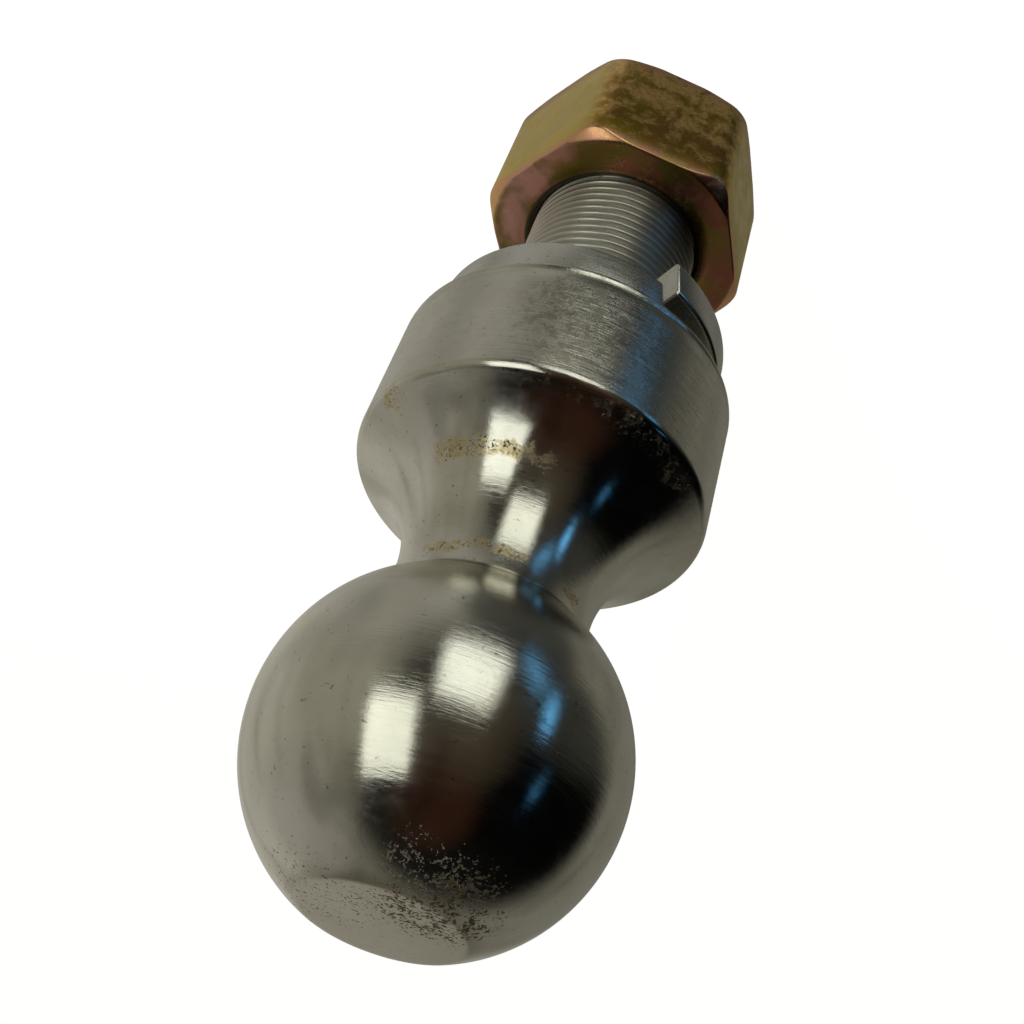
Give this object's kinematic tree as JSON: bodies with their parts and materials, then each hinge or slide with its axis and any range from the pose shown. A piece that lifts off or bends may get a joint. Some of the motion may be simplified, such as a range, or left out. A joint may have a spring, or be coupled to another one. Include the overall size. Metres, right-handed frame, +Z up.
{
  "type": "gooseneck hitch ball",
  "caption": "Trailer hitch ball forged in one piece with its neck, flared base and threaded shank, with a split lock washer and a hexagon nut on the shank.",
  "frame": {"origin": "centre of the seat, the flat underside of the base that rests on the hitch plate", "axes": "+Z up along the axis from the shank to the ball; +X through one corner of the nut; +Y completes a right-handed frame"},
  "size_m": [0.0635, 0.0634, 0.1879],
  "materials": {
    "zinc_steel": "machined and bright zinc plated",
    "washer_steel": "satin zinc plated",
    "yellow_zinc": "yellow chromate over zinc, faintly iridescent"
  },
  "bodies": {
    "ball_stud": {"ball_stud": "zinc_steel"},
    "lock_washer": {"lock_washer": "washer_steel"},
    "hex_nut": {"hex_nut": "yellow_zinc"}
  },
  "joints": [
    {"name": "washer_slide", "type": "slide", "parent": "ball_stud", "child": "lock_washer", "axis": [0, 0, -1], "range_m": [-0.002, 0.0138]},
    {"name": "nut_travel", "type": "slide", "parent": "ball_stud", "child": "hex_nut", "axis": [0, 0, -1], "range_m": [-0.0127, 0.0381]}
  ]
}
